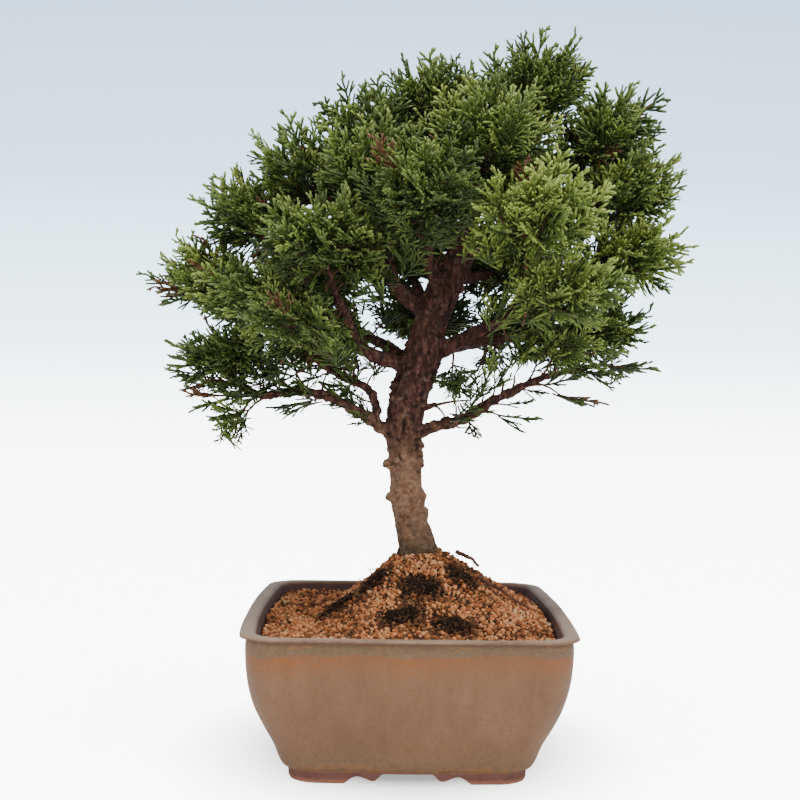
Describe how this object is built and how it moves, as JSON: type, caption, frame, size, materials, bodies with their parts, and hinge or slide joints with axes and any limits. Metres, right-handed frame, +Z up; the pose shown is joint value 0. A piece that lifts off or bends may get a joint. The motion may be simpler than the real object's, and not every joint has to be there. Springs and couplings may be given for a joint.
{
  "type": "bonsai tree in a pot",
  "caption": "Potted bonsai conifer: a curved barked trunk with forked branches and pads of scale-leaf sprays, set in a mound of granular soil in a footed glazed pot.",
  "frame": {"origin": "on the ground under the middle of the pot, the bottom centre of the bounding box", "axes": "+Z up; +X to the right and -Y towards a viewer who faces the pot's short side"},
  "size_m": [0.233, 0.19, 0.3065],
  "materials": {
    "glaze": "satin",
    "akadama": "matte",
    "bark": "matte",
    "scale_leaves": "satin",
    "humus": "matte",
    "black_plastic": "matte",
    "anodised_wire": "satin"
  },
  "bodies": {
    "root": {"pot": "glaze", "soil": "akadama", "trunk_and_branches": "bark", "drainage_mesh_front": "black_plastic", "drainage_mesh_back": "black_plastic", "mesh_clip_front": "anodised_wire", "mesh_clip_back": "anodised_wire", "humus_clump_1": "humus", "humus_clump_2": "humus", "humus_clump_3": "humus", "humus_clump_4": "humus", "humus_clump_5": "humus", "humus_clump_6": "humus", "surface_root": "bark", "dead_twig": "bark", "foliage_left_tip": "scale_leaves", "foliage_left_low": "scale_leaves", "foliage_left_mid": "scale_leaves", "foliage_left_inner": "scale_leaves", "foliage_left_shoulder": "scale_leaves", "foliage_left_upper": "scale_leaves", "foliage_upper_left": "scale_leaves", "foliage_crown_left": "scale_leaves", "foliage_apex": "scale_leaves", "foliage_apex_right": "scale_leaves", "foliage_right_upper": "scale_leaves", "foliage_right_tip": "scale_leaves", "foliage_right_low": "scale_leaves", "foliage_right_skirt": "scale_leaves", "foliage_heart": "scale_leaves", "foliage_front_left": "scale_leaves", "foliage_front_left_low": "scale_leaves", "foliage_front_upper_left": "scale_leaves", "foliage_front_centre": "scale_leaves", "foliage_front_top": "scale_leaves", "foliage_front_right": "scale_leaves", "foliage_front_right_low": "scale_leaves", "foliage_back_left": "scale_leaves", "foliage_back_left_low": "scale_leaves", "foliage_back_upper_left": "scale_leaves", "foliage_back_centre": "scale_leaves", "foliage_back_low": "scale_leaves", "foliage_back_right": "scale_leaves", "foliage_back_right_low": "scale_leaves", "foliage_back_top": "scale_leaves", "foliage_hanging_spray": "scale_leaves", "foliage_trunk_spray": "scale_leaves"}
  },
  "joints": []
}
